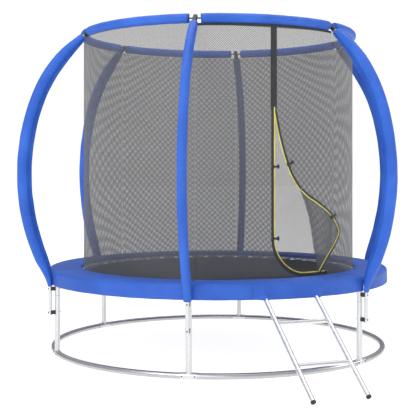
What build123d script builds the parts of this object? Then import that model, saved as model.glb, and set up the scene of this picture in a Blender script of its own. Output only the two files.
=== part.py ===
from build123d import *
import os
from math import asin, atan2, cos, degrees, hypot, pi, radians, sin

# Backyard trampoline with an inner safety net on six bowed poles and a two-rung ladder.
# Millimetres. The ring axis is Z, the ground is z = 0 and the entry side faces -Y.

# ---- frame ----
FRAME_R = 1200.0            # centre line of the top rail, the base ring and the legs
TUBE_R = 19.0               # 38 mm galvanised tube
TUBE_WALL = 1.5
STATIONS = 6                # legs, and one enclosure pole at each
STEP_DEG = 360.0 / STATIONS
FIRST_STATION_DEG = -150.0  # angles are measured from -Y, towards +X
RAIL_Z = 544.0
TEE_R = 21.5                # sleeve of a tee, outside
TEE_BORE_R = 19.2
TEE_ARC_DEG = 5.0
BASE_Z = TEE_R              # the tees of the base ring stand on the ground
LEG_JOINT_Z = 420.0         # where the upper leg slides over the lower one
SPIGOT_R = 17.2
SPIGOT_LENGTH = 60.0

# ---- enclosure poles ----
POLE_R = 1250.0             # centre line of the straight lower end
POLE_TUBE_R = 12.5
POLE_WALL = 1.5
POLE_FOOT_Z = 284.0
POLE_BEND_Z = 450.0
OUT_BEND = (445.0, 24.75)   # bend radius and angle, outwards above the frame
BOW_BEND = (1500.0, 44.3)   # the long bow
TOP_BEND = (1024.0, 26.6)   # inwards to the top ring
TOP_RUN = 148.0             # straight run up to the ring rod
ROD_BACK_OFF = 14.0         # the pole tube stops short of the ring rod
SPACER_Z = (469.0, 305.0)
SPACER_SIZE = (26.0, 25.0)  # width and height
RING_R = 980.0              # top ring rod
RING_Z = 2265.0
ROD_R = 5.0
CAP_R = 16.0
CAP_OVER_ROD = 30.0
CAP_OVER_TUBE = 28.0

# ---- padded sleeves ----
POLE_SLEEVE_HALF = (49.0, 30.0)  # half width, in the plane of the pole and across it
RING_SLEEVE_R = 32.0
RING_SLEEVE_GAP_DEG = 2.4        # each side of a pole
SLEEVE_CLEAR = 1.0

# ---- pad, mat and springs ----
PAD_INNER_R = 994.0
PAD_OUTER_R = 1232.0
PAD_Z = (573.0, 591.0)
SKIRT_THICK = 3.0
SKIRT_BOTTOM_Z = 494.0
SKIRT_NOTCH_X = 205.0       # half width of the notch over the ladder
POLE_SLIT_X = 6.0           # half width of the slit in the skirt behind each pole
SLIT_TOP = 12.0             # each slit ends this far below the skirt's top
MAT_R = 955.0
MAT_Z = (554.5, 557.5)
WEBBING_WIDTH = 42.0
WEBBING_Z = (553.0, 559.0)
SPRINGS = 48
VRING_REACH = (957.0, 988.0)
VRING_HALF_WIDTH = 17.0
VRING_WIRE = 4.0
SPRING_R = 7.5
SPRING_BORE_R = 4.7
SPRING_BODY = (1012.0, 1160.0)
HOOK_WIRE_R = 1.5
SPRING_OUTER_END = (1180.4, 550.0)

# ---- net and door ----
NET_R = 988.0
NET_THICK = 2.0
NET_Z = (566.0, 2228.0)
PANEL_GAP_DEG = 0.1
DOOR_APEX_Z = 1700.0
DOOR_SILL_Z = 615.0
DOOR_CORNER_R = 240.0
DOOR_WIDTH = 457.0          # measured along the net, from the apex line to the end of the zip
FOLD = [(45.0, 1490.0), (105.0, 1310.0), (200.0, 1165.0), (272.0, 985.0), (320.0, 770.0), (352.0, 616.0)]
FOLD_FIRST = 2              # the flap turns back from this point of the fold down
FLAP_EDGE = [(335.0, 1087.0), (471.0, 1003.0), (562.0, 927.0), (590.0, 868.0)]
FLAP_EDGE += [(540.0, 808.0), (450.0, 722.0)]
FLAP_END = (374.0, 640.0)
FLAP_SHELL = (996.0, 998.0)
ZIP_WIDTH = 22.0
ZIP_SHELL = (989.1, 991.6)
FLAP_ZIP_SHELL = (998.1, 1000.6)
TOGGLE_SIZE = (46.0, 9.0, 26.0)  # along the net, out from it, and up
TOGGLE_FIXED = [(4.0, 1314.0), (4.0, 851.0), (118.0, 1335.0)]
TOGGLE_FLAP = [(512.0, 982.0)]
SLIDER_U = 440.0

# ---- ladder ----
LADDER_HALF_X = 174.5
LADDER_TUBE_R = 15.0
LADDER_WALL = 1.2
LADDER_TOP = (1240.0, 504.3)     # distance from the ring axis and height, at the top of a rail
LADDER_FOOT = (1895.0, 11.9)
RUNG_AT = (0.262, 0.673)         # down the rail
RUNG_R = 14.0
END_CAP = (16.0, 9.0)            # radius and length outside the tube
HOOK_RADII = (20.6, 26.0)
HOOK_THICK = 5.0
HOOK_STEM_HALF = 14.2

STATION_DEGS = [FIRST_STATION_DEG + STEP_DEG * k for k in range(STATIONS)]


def turned(shape, angle):
    """A shape built in the XZ plane, with +X outwards, turned to its place round the ring."""
    return shape.rotate(Axis.Z, angle - 90)


def ring_arc(radius, z, outer, inner, arc):
    """A round bar or tube bent round the ring axis, centred on +X."""
    profile = Circle(outer) - Circle(inner) if inner else Circle(outer)
    placed = Plane.XZ * Pos(radius, z) * profile
    bar = revolve(placed, axis=Axis.Z, revolution_arc=arc)
    middle = bar.center()
    return bar.rotate(Axis.Z, -degrees(atan2(middle.Y, middle.X)))


def band(inner, outer, low, high, arc):
    """A curved plate between two radii and two heights, centred on +X."""
    profile = Plane.XZ * Pos((inner + outer) / 2, (low + high) / 2) * Rectangle(outer - inner, high - low)
    plate = revolve(profile, axis=Axis.Z, revolution_arc=arc)
    middle = plate.center()
    return plate.rotate(Axis.Z, -degrees(atan2(middle.Y, middle.X)))


def upright(radius, x, low, high):
    """A vertical cylinder at distance x from the ring axis."""
    return Pos(x, 0, (low + high) / 2) * Cylinder(radius, high - low)


def upper_leg():
    """The tee on the top rail, with the socket that reaches down to the leg joint."""
    body = ring_arc(FRAME_R, RAIL_Z, TEE_R, 0, TEE_ARC_DEG)
    body += upright(TUBE_R, FRAME_R, LEG_JOINT_Z, RAIL_Z)
    body -= ring_arc(FRAME_R, RAIL_Z, TEE_BORE_R, 0, TEE_ARC_DEG + 1)
    return body - upright(TUBE_R - TUBE_WALL, FRAME_R, LEG_JOINT_Z - 1, RAIL_Z)


def lower_leg():
    """The tee on the base ring, its leg tube, and the spigot that enters the upper leg."""
    top = LEG_JOINT_Z - 0.4
    body = ring_arc(FRAME_R, BASE_Z, TEE_R, 0, TEE_ARC_DEG)
    body += upright(TUBE_R, FRAME_R, BASE_Z, top)
    body += upright(SPIGOT_R, FRAME_R, top - 10, top + SPIGOT_LENGTH)
    body -= ring_arc(FRAME_R, BASE_Z, TEE_BORE_R, 0, TEE_ARC_DEG + 1)
    return body - upright(SPIGOT_R - TUBE_WALL, FRAME_R, BASE_Z, top + SPIGOT_LENGTH + 1)


def pole_path(top_run):
    """The pole's centre line in the XZ plane: a straight foot, three tangent bends, a straight top."""
    foot = Line((POLE_R, POLE_FOOT_Z), (POLE_R, POLE_BEND_Z))
    out = JernArc(start=foot @ 1, tangent=foot % 1, radius=OUT_BEND[0], arc_size=-OUT_BEND[1])
    bow = JernArc(start=out @ 1, tangent=out % 1, radius=BOW_BEND[0], arc_size=BOW_BEND[1])
    top = JernArc(start=bow @ 1, tangent=bow % 1, radius=TOP_BEND[0], arc_size=TOP_BEND[1])
    end = Line(top @ 1, top @ 1 + (top % 1) * top_run)
    return Plane.XZ * Wire([foot, out, bow, top, end])


POLE_LINE = pole_path(TOP_RUN)
POLE_TOP = POLE_LINE @ 1
POLE_TOP_DIR = POLE_LINE % 1


def pole_tube():
    path = pole_path(TOP_RUN - ROD_BACK_OFF)
    start = Plane(origin=(POLE_R, 0, POLE_FOOT_Z), x_dir=(1, 0, 0), z_dir=(0, 0, 1))
    return sweep(start * (Circle(POLE_TUBE_R) - Circle(POLE_TUBE_R - POLE_WALL)), path=path)


def pole_sleeve():
    """Foam sleeve, flat in section, that narrows at both ends; lofted along the pole."""
    length = POLE_LINE.length
    full, wide = POLE_SLEEVE_HALF
    stations = [(206, 15.5, 25), (290, 29, 28), (400, 44, wide), (700, full, wide), (1050, full, wide)]
    stations += [(1400, full, wide), (1750, full, wide), (1960, 42, 29), (length - 58, 27, 27)]
    faces = []
    for along, in_plane, across in stations:
        spot = POLE_LINE.position_at(along / length)
        way = POLE_LINE.tangent_at(along / length)
        outward = Vector(way.Z, 0, -way.X)
        faces.append(Plane(origin=spot, x_dir=outward, z_dir=way) * Ellipse(in_plane, across))
    bore = Plane(origin=(POLE_R, 0, POLE_FOOT_Z), x_dir=(1, 0, 0), z_dir=(0, 0, 1))
    return loft(faces) - sweep(bore * Circle(POLE_TUBE_R + SLEEVE_CLEAR), path=POLE_LINE)


def pole_cap():
    """Black cap on the end of the pole, which the ring rod passes through."""
    frame = Plane(origin=POLE_TOP, x_dir=(0, 1, 0), z_dir=POLE_TOP_DIR)
    below = ROD_BACK_OFF + CAP_OVER_TUBE
    body = Pos(0, 0, (CAP_OVER_ROD - below) / 2) * Cylinder(CAP_R, CAP_OVER_ROD + below)
    body = fillet(body.edges().sort_by(Axis.Z)[-1], 9)
    body -= Pos(0, 0, -ROD_BACK_OFF - 50) * Cylinder(POLE_TUBE_R + 0.15, 100)
    return frame * body - ring_arc(RING_R, RING_Z, ROD_R + 0.3, 0, 5)


def pole_spacers():
    width, height = SPACER_SIZE
    found = []
    for z in SPACER_Z:
        block = Pos((FRAME_R + POLE_R) / 2, 0, z) * Box(POLE_R - FRAME_R, width, height)
        block -= upright(TUBE_R + 0.05, FRAME_R, z - height, z + height)
        found.append(block - upright(POLE_TUBE_R + 0.05, POLE_R, z - height, z + height))
    return found


def frame_bolts():
    """Through bolts at the spacers, and the screws that hold each tee to its ring."""
    found = []
    for z in SPACER_Z:
        reach = (FRAME_R - TUBE_R - 6, POLE_R + POLE_TUBE_R)
        shank = Pos(sum(reach) / 2, 0, z) * Rot(0, 90, 0) * Cylinder(3, reach[1] - reach[0])
        head = Pos(reach[1] + 2, 0, z) * Rot(0, 90, 0) * extrude(RegularPolygon(5.5, 6), 2, both=True)
        found.append(shank + head)
    for ring_z in (RAIL_Z, BASE_Z):
        for side in (-1.9, 1.9):
            inner, outer = FRAME_R + TUBE_R - 8, FRAME_R + TEE_R
            shank = Pos((inner + outer) / 2, 0, ring_z) * Rot(0, 90, 0) * Cylinder(2.5, outer - inner)
            head = Pos(outer + 1, 0, ring_z) * Rot(0, 90, 0) * Cylinder(5, 2.4)
            found.append((shank + head).rotate(Axis.Z, side))
    return found


def safety_pad():
    """Foam ring over the springs."""
    pad = Pos(0, 0, sum(PAD_Z) / 2) * Cylinder(PAD_OUTER_R, PAD_Z[1] - PAD_Z[0])
    pad = fillet(pad.edges().group_by(Axis.Z)[-1], 7)
    return pad - Cylinder(PAD_INNER_R, 4 * PAD_Z[1])


def pad_skirt():
    """The skirt sewn under the pad's outer edge: open over the ladder, and slit behind each pole."""
    height = PAD_Z[0] - SKIRT_BOTTOM_Z
    middle = (PAD_Z[0] + SKIRT_BOTTOM_Z) / 2
    skirt = Cylinder(PAD_OUTER_R, height) - Cylinder(PAD_OUTER_R - SKIRT_THICK, height + 2)
    skirt = Pos(0, 0, middle) * skirt
    skirt -= Pos(0, -PAD_OUTER_R, middle) * Box(2 * SKIRT_NOTCH_X, 400, height + 2)
    for angle in STATION_DEGS:
        slit = Pos(PAD_OUTER_R, 0, middle - SLIT_TOP) * Box(60, 2 * POLE_SLIT_X, height)
        skirt -= turned(slit, angle)
    return skirt


def jump_mat():
    mat = Pos(0, 0, sum(MAT_Z) / 2) * Cylinder(MAT_R, MAT_Z[1] - MAT_Z[0])
    webbing = Pos(0, 0, sum(WEBBING_Z) / 2) * Cylinder(MAT_R, WEBBING_Z[1] - WEBBING_Z[0])
    return mat + (webbing - Cylinder(MAT_R - WEBBING_WIDTH, 4 * WEBBING_Z[1]))


def v_ring():
    """Triangular wire ring: its base lies along the mat's edge, and its tip takes a spring hook."""
    inner, outer = VRING_REACH
    half, wire = VRING_HALF_WIDTH, VRING_WIRE
    outline = make_face(Polyline((inner, -half), (outer, -wire), (outer, wire), (inner, half), close=True))
    hole = make_face(
        Polyline((inner + wire, -half + 1.5 * wire), (outer - wire, -0.8), (outer - wire, 0.8),
                 (inner + wire, half - 1.5 * wire), close=True)
    )
    return Pos(0, 0, sum(MAT_Z) / 2) * extrude(outline - hole, wire / 2, both=True)


def spring():
    """Extension spring as a tube of its coils, with a straight hook at each end."""
    mat_z = sum(MAT_Z) / 2
    start = (VRING_REACH[1] + 0.5, mat_z)
    length = hypot(SPRING_OUTER_END[0] - start[0], SPRING_OUTER_END[1] - start[1])
    tilt = degrees(asin((start[1] - SPRING_OUTER_END[1]) / length))
    body_low, body_high = SPRING_BODY[0] - start[0], SPRING_BODY[1] - start[0]
    coil = Pos(0, 0, (body_low + body_high) / 2) * (
        Cylinder(SPRING_R, body_high - body_low) - Cylinder(SPRING_BORE_R, body_high - body_low + 2)
    )
    pieces = [coil]
    for low, high in ((0, body_low + 6), (body_high - 6, length)):
        rod = Pos(0, 0, (low + high) / 2) * Cylinder(HOOK_WIRE_R, high - low)
        end = body_low + 3 if low == 0 else body_high - 3
        pieces.append(rod + Pos(0, 0, end) * Cylinder(SPRING_BORE_R + 0.5, 5.5))
    return Pos(start[0], 0, start[1]) * Rot(0, 90 + tilt, 0) * (pieces[0] + pieces[1] + pieces[2])


def door_plane_point(u, z, middle):
    """A point of the net, u along it from the door's apex line, seen along the middle direction."""
    return (NET_R * sin(u / NET_R - middle), z)


def net_prism(outline, middle_u, depth=300):
    """A face drawn on the net, made into a block that runs straight out through it."""
    middle = middle_u / NET_R
    wall = Plane(origin=(NET_R * sin(middle), -NET_R * cos(middle), 0), x_dir=(cos(middle), sin(middle), 0),
                 z_dir=(sin(middle), -cos(middle), 0))
    return extrude(wall * outline, depth / 2, both=True)


def on_wall(points, middle_u):
    return [door_plane_point(u, z, middle_u / NET_R) for u, z in points]


def zip_curve(middle_u):
    """Down from the apex, round the corner and along the sill to the end of the zip."""
    rounding = [(DOOR_CORNER_R * (1 - cos(a)), DOOR_SILL_Z + DOOR_CORNER_R * (1 - sin(a)))
                for a in (radians(d) for d in range(0, 91, 15))]
    corner = on_wall(rounding, middle_u)
    top, low = on_wall([(0, DOOR_APEX_Z), (0, DOOR_SILL_Z + DOOR_CORNER_R)], middle_u)
    end = on_wall([(DOOR_WIDTH, DOOR_SILL_Z)], middle_u)[0]
    return [Line(top, low), Spline(corner, tangents=[(0, -1), (1, 0)]), Line(corner[-1], end)]


def fold_curve(middle_u, points):
    return Spline(on_wall(points, middle_u))


def door_opening():
    """The hole that the unzipped door leaves, from the zip line to the fold."""
    middle_u = 180
    edge = zip_curve(middle_u)[:2]
    fold = fold_curve(middle_u, [(0, DOOR_APEX_Z)] + FOLD)
    sill = Line(edge[1] @ 1, fold @ 1)
    return net_prism(make_face([edge[0], edge[1], sill, fold]), middle_u)


def flap_outline(middle_u, inset):
    """The turned-back part of the door, a little clear of the fold."""
    fold = [(u + inset, z) for u, z in FOLD[FOLD_FIRST:]]
    hinge_side = fold_curve(middle_u, fold)
    free = Spline(on_wall([fold[0]] + FLAP_EDGE + [FLAP_END], middle_u))
    closing = Line(free @ 1, hinge_side @ 1)
    return make_face([hinge_side, closing, free])


def door_flap():
    middle_u = 400
    shell = turned(band(FLAP_SHELL[0], FLAP_SHELL[1], 500, 1400, 80), middle_u / NET_R * 180 / pi)
    return shell & net_prism(flap_outline(middle_u, 14), middle_u)


def zip_tape(curves, middle_u, shell_radii):
    """A strip of tape that follows the curves, on the outside of the net."""
    shell = turned(band(shell_radii[0], shell_radii[1], 450, 1800, 110), middle_u / NET_R * 180 / pi)
    return shell & net_prism(trace(curves, ZIP_WIDTH), middle_u)


def fixed_zip():
    middle_u = 180
    fold = fold_curve(middle_u, [(12, 1640)] + FOLD[:FOLD_FIRST + 1])
    return zip_tape(zip_curve(middle_u), middle_u, ZIP_SHELL) + zip_tape(fold, middle_u, ZIP_SHELL)


def flap_zip():
    middle_u = 430
    start = (FOLD[FOLD_FIRST][0] + 40, FOLD[FOLD_FIRST][1] - 22)
    curve = Spline(on_wall([start] + FLAP_EDGE + [FLAP_END], middle_u))
    return zip_tape(curve, middle_u, FLAP_ZIP_SHELL)


def on_net(shape, u, z, radius):
    """A shape built with +X outwards, moved onto the net at u along it and at height z."""
    return turned(Pos(radius, 0, z) * shape, degrees(u / NET_R))


def toggles(spots, radius):
    long, deep, tall = TOGGLE_SIZE
    return [on_net(Box(deep, long, tall), u, z, radius + deep / 2 + 0.1) for u, z in spots]


def zip_slider():
    body = Pos(4.0, 0, 0) * Box(6, 20, 15)
    pull = Pos(8.1, 0, -9) * Box(2.4, 7, 21)
    return on_net(body + pull, SLIDER_U, DOOR_SILL_Z, ZIP_SHELL[1])


def ladder_plane(x):
    """A plane on one ladder rail: its X runs down the rail, from the rail's top end."""
    down = Vector(0, -(LADDER_FOOT[0] - LADDER_TOP[0]), LADDER_FOOT[1] - LADDER_TOP[1]).normalized()
    return Plane(origin=(x, -LADDER_TOP[0], LADDER_TOP[1]), x_dir=(1, 0, 0), z_dir=down)


LADDER_LENGTH = hypot(LADDER_FOOT[0] - LADDER_TOP[0], LADDER_TOP[1] - LADDER_FOOT[1])


def ladder_rail(x):
    length = LADDER_LENGTH - END_CAP[1]
    tube = Cylinder(LADDER_TUBE_R, length) - Cylinder(LADDER_TUBE_R - LADDER_WALL, length + 2)
    rail = ladder_plane(x) * Pos(0, 0, length / 2) * tube
    for share in RUNG_AT:
        rail -= rung(share, RUNG_R + 0.2)
    return rail


def rung(share, radius, wall=0.0):
    """A cross tube whose ends sit in the inner halves of the rails."""
    reach = LADDER_HALF_X - LADDER_TUBE_R + 4
    bar = Cylinder(radius, 2 * reach)
    if wall:
        bar -= Cylinder(radius - wall, 2 * reach + 2)
    return ladder_plane(0) * Pos(0, 0, share * LADDER_LENGTH) * Rot(0, 90, 0) * bar


def ladder_cap(x):
    """Plastic foot: a disc outside the tube and a plug inside it."""
    radius, length = END_CAP
    disc = fillet(Cylinder(radius, length).edges().sort_by(Axis.Z)[-1], 2.5)
    plug = Pos(0, 0, -length / 2 - 10) * Cylinder(LADDER_TUBE_R - LADDER_WALL - 0.2, 20)
    drop = LADDER_LENGTH - length / 2
    return ladder_plane(x) * Pos(0, 0, drop) * (disc + plug)


def ladder_hook(x):
    """Flat hook over the top rail, with a stem that is welded into the ladder rail."""
    inner, outer = HOOK_RADII
    rail_y = -(FRAME_R ** 2 - LADDER_HALF_X ** 2) ** 0.5
    slope = degrees(atan2(LADDER_FOOT[1] - LADDER_TOP[1], LADDER_FOOT[0] - LADDER_TOP[0]))
    ring = Circle(outer) - Circle(inner)
    gap = Rot(0, 0, 255) * Pos(outer, 0) * Rectangle(2 * outer, 2 * inner)
    reach = hypot(LADDER_TOP[0] + rail_y, RAIL_Z - LADDER_TOP[1]) + 22
    stem_width = 2 * HOOK_STEM_HALF
    stem = Rot(0, 0, slope) * Pos((inner + 3 + reach) / 2, 0) * Rectangle(reach - inner - 3, stem_width)
    outline = ring - gap + (stem - Circle(inner))
    side = Plane(origin=(x, rail_y, RAIL_Z), x_dir=(0, -1, 0), z_dir=(-1, 0, 0))
    return extrude(side * outline, HOOK_THICK / 2, both=True)


def save(name, shapes):
    """Write one node: a single solid, or a compound of separate ones."""
    solids = []
    for shape in shapes if isinstance(shapes, list) else [shapes]:
        solids += list(shape.solids())
    item = solids[0] if len(solids) == 1 else Compound(solids)
    item.label = name
    export_step(item, f"parts/{name}.step")


def main():
    os.makedirs("parts", exist_ok=True)
    leg_parts = [upper_leg(), lower_leg()]
    span = STEP_DEG - PANEL_GAP_DEG
    rail = ring_arc(FRAME_R, RAIL_Z, TUBE_R, TUBE_R - TUBE_WALL, span)
    base = ring_arc(FRAME_R, BASE_Z, TUBE_R, TUBE_R - TUBE_WALL, span)
    rod = ring_arc(RING_R, RING_Z, ROD_R, 0, span)
    ring_sleeve = ring_arc(RING_R, RING_Z, RING_SLEEVE_R, ROD_R + SLEEVE_CLEAR,
                           STEP_DEG - 2 * RING_SLEEVE_GAP_DEG)
    panel = band(NET_R - NET_THICK / 2, NET_R + NET_THICK / 2, NET_Z[0], NET_Z[1], span)
    tube, sleeve = pole_tube(), pole_sleeve()
    for number, angle in enumerate(STATION_DEGS, 1):
        after = angle + STEP_DEG / 2
        save(f"leg_{number}", [turned(piece, angle) for piece in leg_parts])
        save(f"pole_{number}", turned(tube, angle))
        save(f"pole_sleeve_{number}", turned(sleeve, angle))
        save(f"frame_rail_{number}", turned(rail, after))
        save(f"base_ring_{number}", turned(base, after))
        save(f"ring_sleeve_{number}", turned(ring_sleeve, after))
        net = turned(panel, after)
        if abs(after) < 1:
            net -= door_opening()
        save(f"net_panel_{number}", net)
    save("ring_rods", [turned(rod, angle + STEP_DEG / 2) for angle in STATION_DEGS])
    save("pole_caps", [turned(pole_cap(), angle) for angle in STATION_DEGS])
    save("pole_spacers", [turned(piece, angle) for angle in STATION_DEGS for piece in pole_spacers()])
    save("frame_bolts", [turned(piece, angle) for angle in STATION_DEGS for piece in frame_bolts()])
    spring_degs = [(k + 0.5) * 360 / SPRINGS for k in range(SPRINGS)]
    save("v_rings", [turned(v_ring(), angle) for angle in spring_degs])
    save("springs", [turned(spring(), angle) for angle in spring_degs])
    save("safety_pad", safety_pad())
    save("pad_skirt", pad_skirt())
    save("jump_mat", jump_mat())
    save("door_flap", door_flap())
    save("zip_tape_fixed", fixed_zip())
    save("zip_tape_flap", flap_zip())
    save("toggles_fixed", toggles(TOGGLE_FIXED, ZIP_SHELL[1]))
    save("toggles_flap", toggles(TOGGLE_FLAP, FLAP_ZIP_SHELL[1]))
    save("zip_slider", zip_slider())
    sides = (-LADDER_HALF_X, LADDER_HALF_X)
    save("ladder_rails", [ladder_rail(x) + ladder_hook(x) for x in sides])
    save("ladder_rungs", [rung(share, RUNG_R, LADDER_WALL) for share in RUNG_AT])
    save("ladder_end_caps", [ladder_cap(x) for x in sides])


main()
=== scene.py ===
"""Looks of the backyard trampoline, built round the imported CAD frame.

Metres. Z is the ring's axis, and the door and the ladder face -Y. A station is an angle in degrees from -Y
towards +X.
"""

from math import cos, degrees, hypot, pi, radians, sin

import bpy
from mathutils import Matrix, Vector, noise
from mathutils.geometry import delaunay_2d_cdt


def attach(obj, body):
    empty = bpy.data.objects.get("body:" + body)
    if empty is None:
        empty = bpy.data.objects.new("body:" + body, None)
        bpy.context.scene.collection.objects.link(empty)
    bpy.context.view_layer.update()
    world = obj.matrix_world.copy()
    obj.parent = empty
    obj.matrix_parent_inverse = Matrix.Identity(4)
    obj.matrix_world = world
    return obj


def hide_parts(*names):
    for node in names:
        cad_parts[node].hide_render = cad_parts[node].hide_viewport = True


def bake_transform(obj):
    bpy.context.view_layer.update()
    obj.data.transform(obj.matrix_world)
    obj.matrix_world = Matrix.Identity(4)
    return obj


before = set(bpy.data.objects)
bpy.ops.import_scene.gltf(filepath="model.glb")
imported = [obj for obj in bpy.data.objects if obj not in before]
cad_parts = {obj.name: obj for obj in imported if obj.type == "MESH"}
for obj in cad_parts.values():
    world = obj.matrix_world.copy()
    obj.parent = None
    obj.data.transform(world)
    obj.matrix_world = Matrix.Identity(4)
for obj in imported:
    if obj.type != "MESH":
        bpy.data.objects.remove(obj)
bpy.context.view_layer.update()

STATIONS = [-150, -90, -30, 30, 90, 150]
SPRINGS = 48
SPRING_Z = 0.556
NET_R, NET_LOW, NET_HIGH, NET_HEIGHT = 0.988, 0.566, 2.232, 1.666
RING_R, RING_Z = 0.980, 2.265
MAT_R, MAT_Z = 0.955, 0.5577
PAD_RIM_Z = 0.574
SKIRT_R = 1.2345
LADDER_RAIL_X = 0.1745


# ------------------------------------------------------------------ materials
def nodes_of(name):
    """A new material with a plain Principled shader: the material, its node tree and the shader."""
    m = bpy.data.materials.new(name)
    m.use_nodes = True
    t = m.node_tree
    t.nodes.clear()
    out = t.nodes.new("ShaderNodeOutputMaterial")
    shader = t.nodes.new("ShaderNodeBsdfPrincipled")
    t.links.new(shader.outputs[0], out.inputs[0])
    return m, t, shader


def math_node(t, kind, a, b=None):
    n = t.nodes.new("ShaderNodeMath")
    n.operation = kind
    for socket, v in zip(n.inputs, (a, b)):
        if isinstance(v, (int, float)):
            socket.default_value = v
        elif v is not None:
            t.links.new(v, socket)
    return n.outputs[0]


def noise_node(t, coords, scale, detail, rough=0.55):
    n = t.nodes.new("ShaderNodeTexNoise")
    n.inputs["Scale"].default_value = scale
    n.inputs["Detail"].default_value = detail
    n.inputs["Roughness"].default_value = rough
    t.links.new(coords, n.inputs["Vector"])
    return n.outputs["Fac"]


def ramp(t, fac, stops):
    """A colour ramp with stops of (position, colour)."""
    n = t.nodes.new("ShaderNodeValToRGB")
    e = n.color_ramp.elements
    while len(e) > 1:
        e.remove(e[-1])
    e[0].position, e[0].color = stops[0][0], (*stops[0][1], 1)
    for pos, col in stops[1:]:
        e.new(pos).color = (*col, 1)
    t.links.new(fac, n.inputs[0])
    return n.outputs[0]


def mix_colour(t, fac, a, b):
    """From colour a to colour b; each is a tuple or a socket."""
    n = t.nodes.new("ShaderNodeMix")
    n.data_type = "RGBA"
    for socket, v in ((n.inputs[0], fac), (n.inputs[6], a), (n.inputs[7], b)):
        if isinstance(v, tuple):
            socket.default_value = (*v, 1)
        else:
            t.links.new(v, socket)
    return n.outputs[2]


def span(t, value, low, high):
    """A value of 0 to 1 stretched to low to high."""
    n = t.nodes.new("ShaderNodeMapRange")
    n.inputs["To Min"].default_value = low
    n.inputs["To Max"].default_value = high
    t.links.new(value, n.inputs[0])
    return n.outputs[0]


def bump(t, shader, height, strength, distance):
    n = t.nodes.new("ShaderNodeBump")
    n.inputs["Strength"].default_value = strength
    n.inputs["Distance"].default_value = distance
    t.links.new(height, n.inputs["Height"])
    t.links.new(n.outputs[0], shader.inputs["Normal"])


def vary_roughness(t, shader, value, low, high):
    t.links.new(span(t, value, low, high), shader.inputs["Roughness"])


def grid_wave(t, coords, period, period_v=None):
    """Crossed threads: the product, -1 to 1, of a sine along each of the first two coordinates in metres."""
    s = t.nodes.new("ShaderNodeSeparateXYZ")
    t.links.new(coords, s.inputs[0])
    a = math_node(t, "SINE", math_node(t, "MULTIPLY", s.outputs[0], 2 * pi / period))
    b = math_node(t, "SINE", math_node(t, "MULTIPLY", s.outputs[1], 2 * pi / (period_v or period)))
    return math_node(t, "MULTIPLY", a, b)


def coated_fabric(name, colour, dark, light, rough=0.42, wrinkle=9.0):
    """Coated polyester over foam: fine weave, soft wrinkles, slight fading."""
    m, t, s = nodes_of(name)
    c = t.nodes.new("ShaderNodeTexCoord")
    big = noise_node(t, c.outputs["Object"], 3.2, 4)
    col = ramp(t, big, [(0.3, dark), (0.5, colour), (0.72, light)])
    cloth = grid_wave(t, c.outputs["UV"], 0.0022)
    col = mix_colour(t, span(t, cloth, 0.0, 0.14), col, tuple(v * 0.62 for v in colour))
    t.links.new(col, s.inputs["Base Color"])
    vary_roughness(t, s, noise_node(t, c.outputs["Object"], 14, 3), rough - 0.08, rough + 0.14)
    s.inputs["Specular IOR Level"].default_value = 0.36
    s.inputs["Sheen Weight"].default_value = 0.03
    s.inputs["Sheen Roughness"].default_value = 0.4
    s.inputs["Coat Weight"].default_value = 0.06
    s.inputs["Coat Roughness"].default_value = 0.35
    folds = noise_node(t, c.outputs["Object"], wrinkle, 5, 0.6)
    bump(t, s, math_node(t, "ADD", folds, math_node(t, "MULTIPLY", cloth, 0.045)), 0.55, 0.012)
    return m


def net_cloth(name, cover):
    """Knitted net: thread crossings over open holes. Cover is the share that isn't see-through."""
    colour, period, contrast = (0.075, 0.075, 0.077), 0.0112, 0.60
    m, t, s = nodes_of(name)
    c = t.nodes.new("ShaderNodeTexCoord")
    knots = grid_wave(t, c.outputs["UV"], period)
    drift = noise_node(t, c.outputs["Object"], 2.4, 2)
    share = math_node(t, "ADD", math_node(t, "MULTIPLY", knots, contrast), cover)
    share = math_node(t, "ADD", share, math_node(t, "MULTIPLY", math_node(t, "SUBTRACT", drift, 0.5), 0.10))
    share = math_node(t, "MINIMUM", math_node(t, "MAXIMUM", share, 0.02), 0.98)
    col = mix_colour(t, drift, colour, tuple(v * 1.5 for v in colour))
    t.links.new(col, s.inputs["Base Color"])
    s.inputs["Roughness"].default_value = 0.75
    s.inputs["Sheen Weight"].default_value = 0.15
    bump(t, s, knots, 0.4, 0.001)
    t.links.new(share, s.inputs["Alpha"])
    return m


def webbing(name, colour, light, period=0.004):
    """Ribbed woven tape, also used for thread."""
    m, t, s = nodes_of(name)
    c = t.nodes.new("ShaderNodeTexCoord")
    rib = grid_wave(t, c.outputs["UV"], period, period * 0.6)
    col = mix_colour(t, span(t, rib, 0.0, 0.6), colour, light)
    t.links.new(col, s.inputs["Base Color"])
    vary_roughness(t, s, noise_node(t, c.outputs["Object"], 30, 2), 0.6, 0.8)
    s.inputs["Sheen Weight"].default_value = 0.1
    bump(t, s, rib, 0.5, 0.0015)
    return m


def zip_teeth(name):
    """Coil zip: bright yellow teeth across the run, darker between them."""
    m, t, s = nodes_of(name)
    c = t.nodes.new("ShaderNodeTexCoord")
    sep = t.nodes.new("ShaderNodeSeparateXYZ")
    t.links.new(c.outputs["UV"], sep.inputs[0])
    teeth = math_node(t, "SINE", math_node(t, "MULTIPLY", sep.outputs[0], 2 * pi / 0.004))
    worn = noise_node(t, c.outputs["Object"], 8, 3)
    col = ramp(t, worn, [(0.3, (0.72, 0.56, 0.06)), (0.6, (0.90, 0.80, 0.16)), (0.8, (0.95, 0.88, 0.30))])
    col = mix_colour(t, span(t, teeth, 0.25, 0.0), col, (0.42, 0.33, 0.03))
    t.links.new(col, s.inputs["Base Color"])
    vary_roughness(t, s, worn, 0.35, 0.55)
    bump(t, s, teeth, 0.6, 0.001)
    return m


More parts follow.
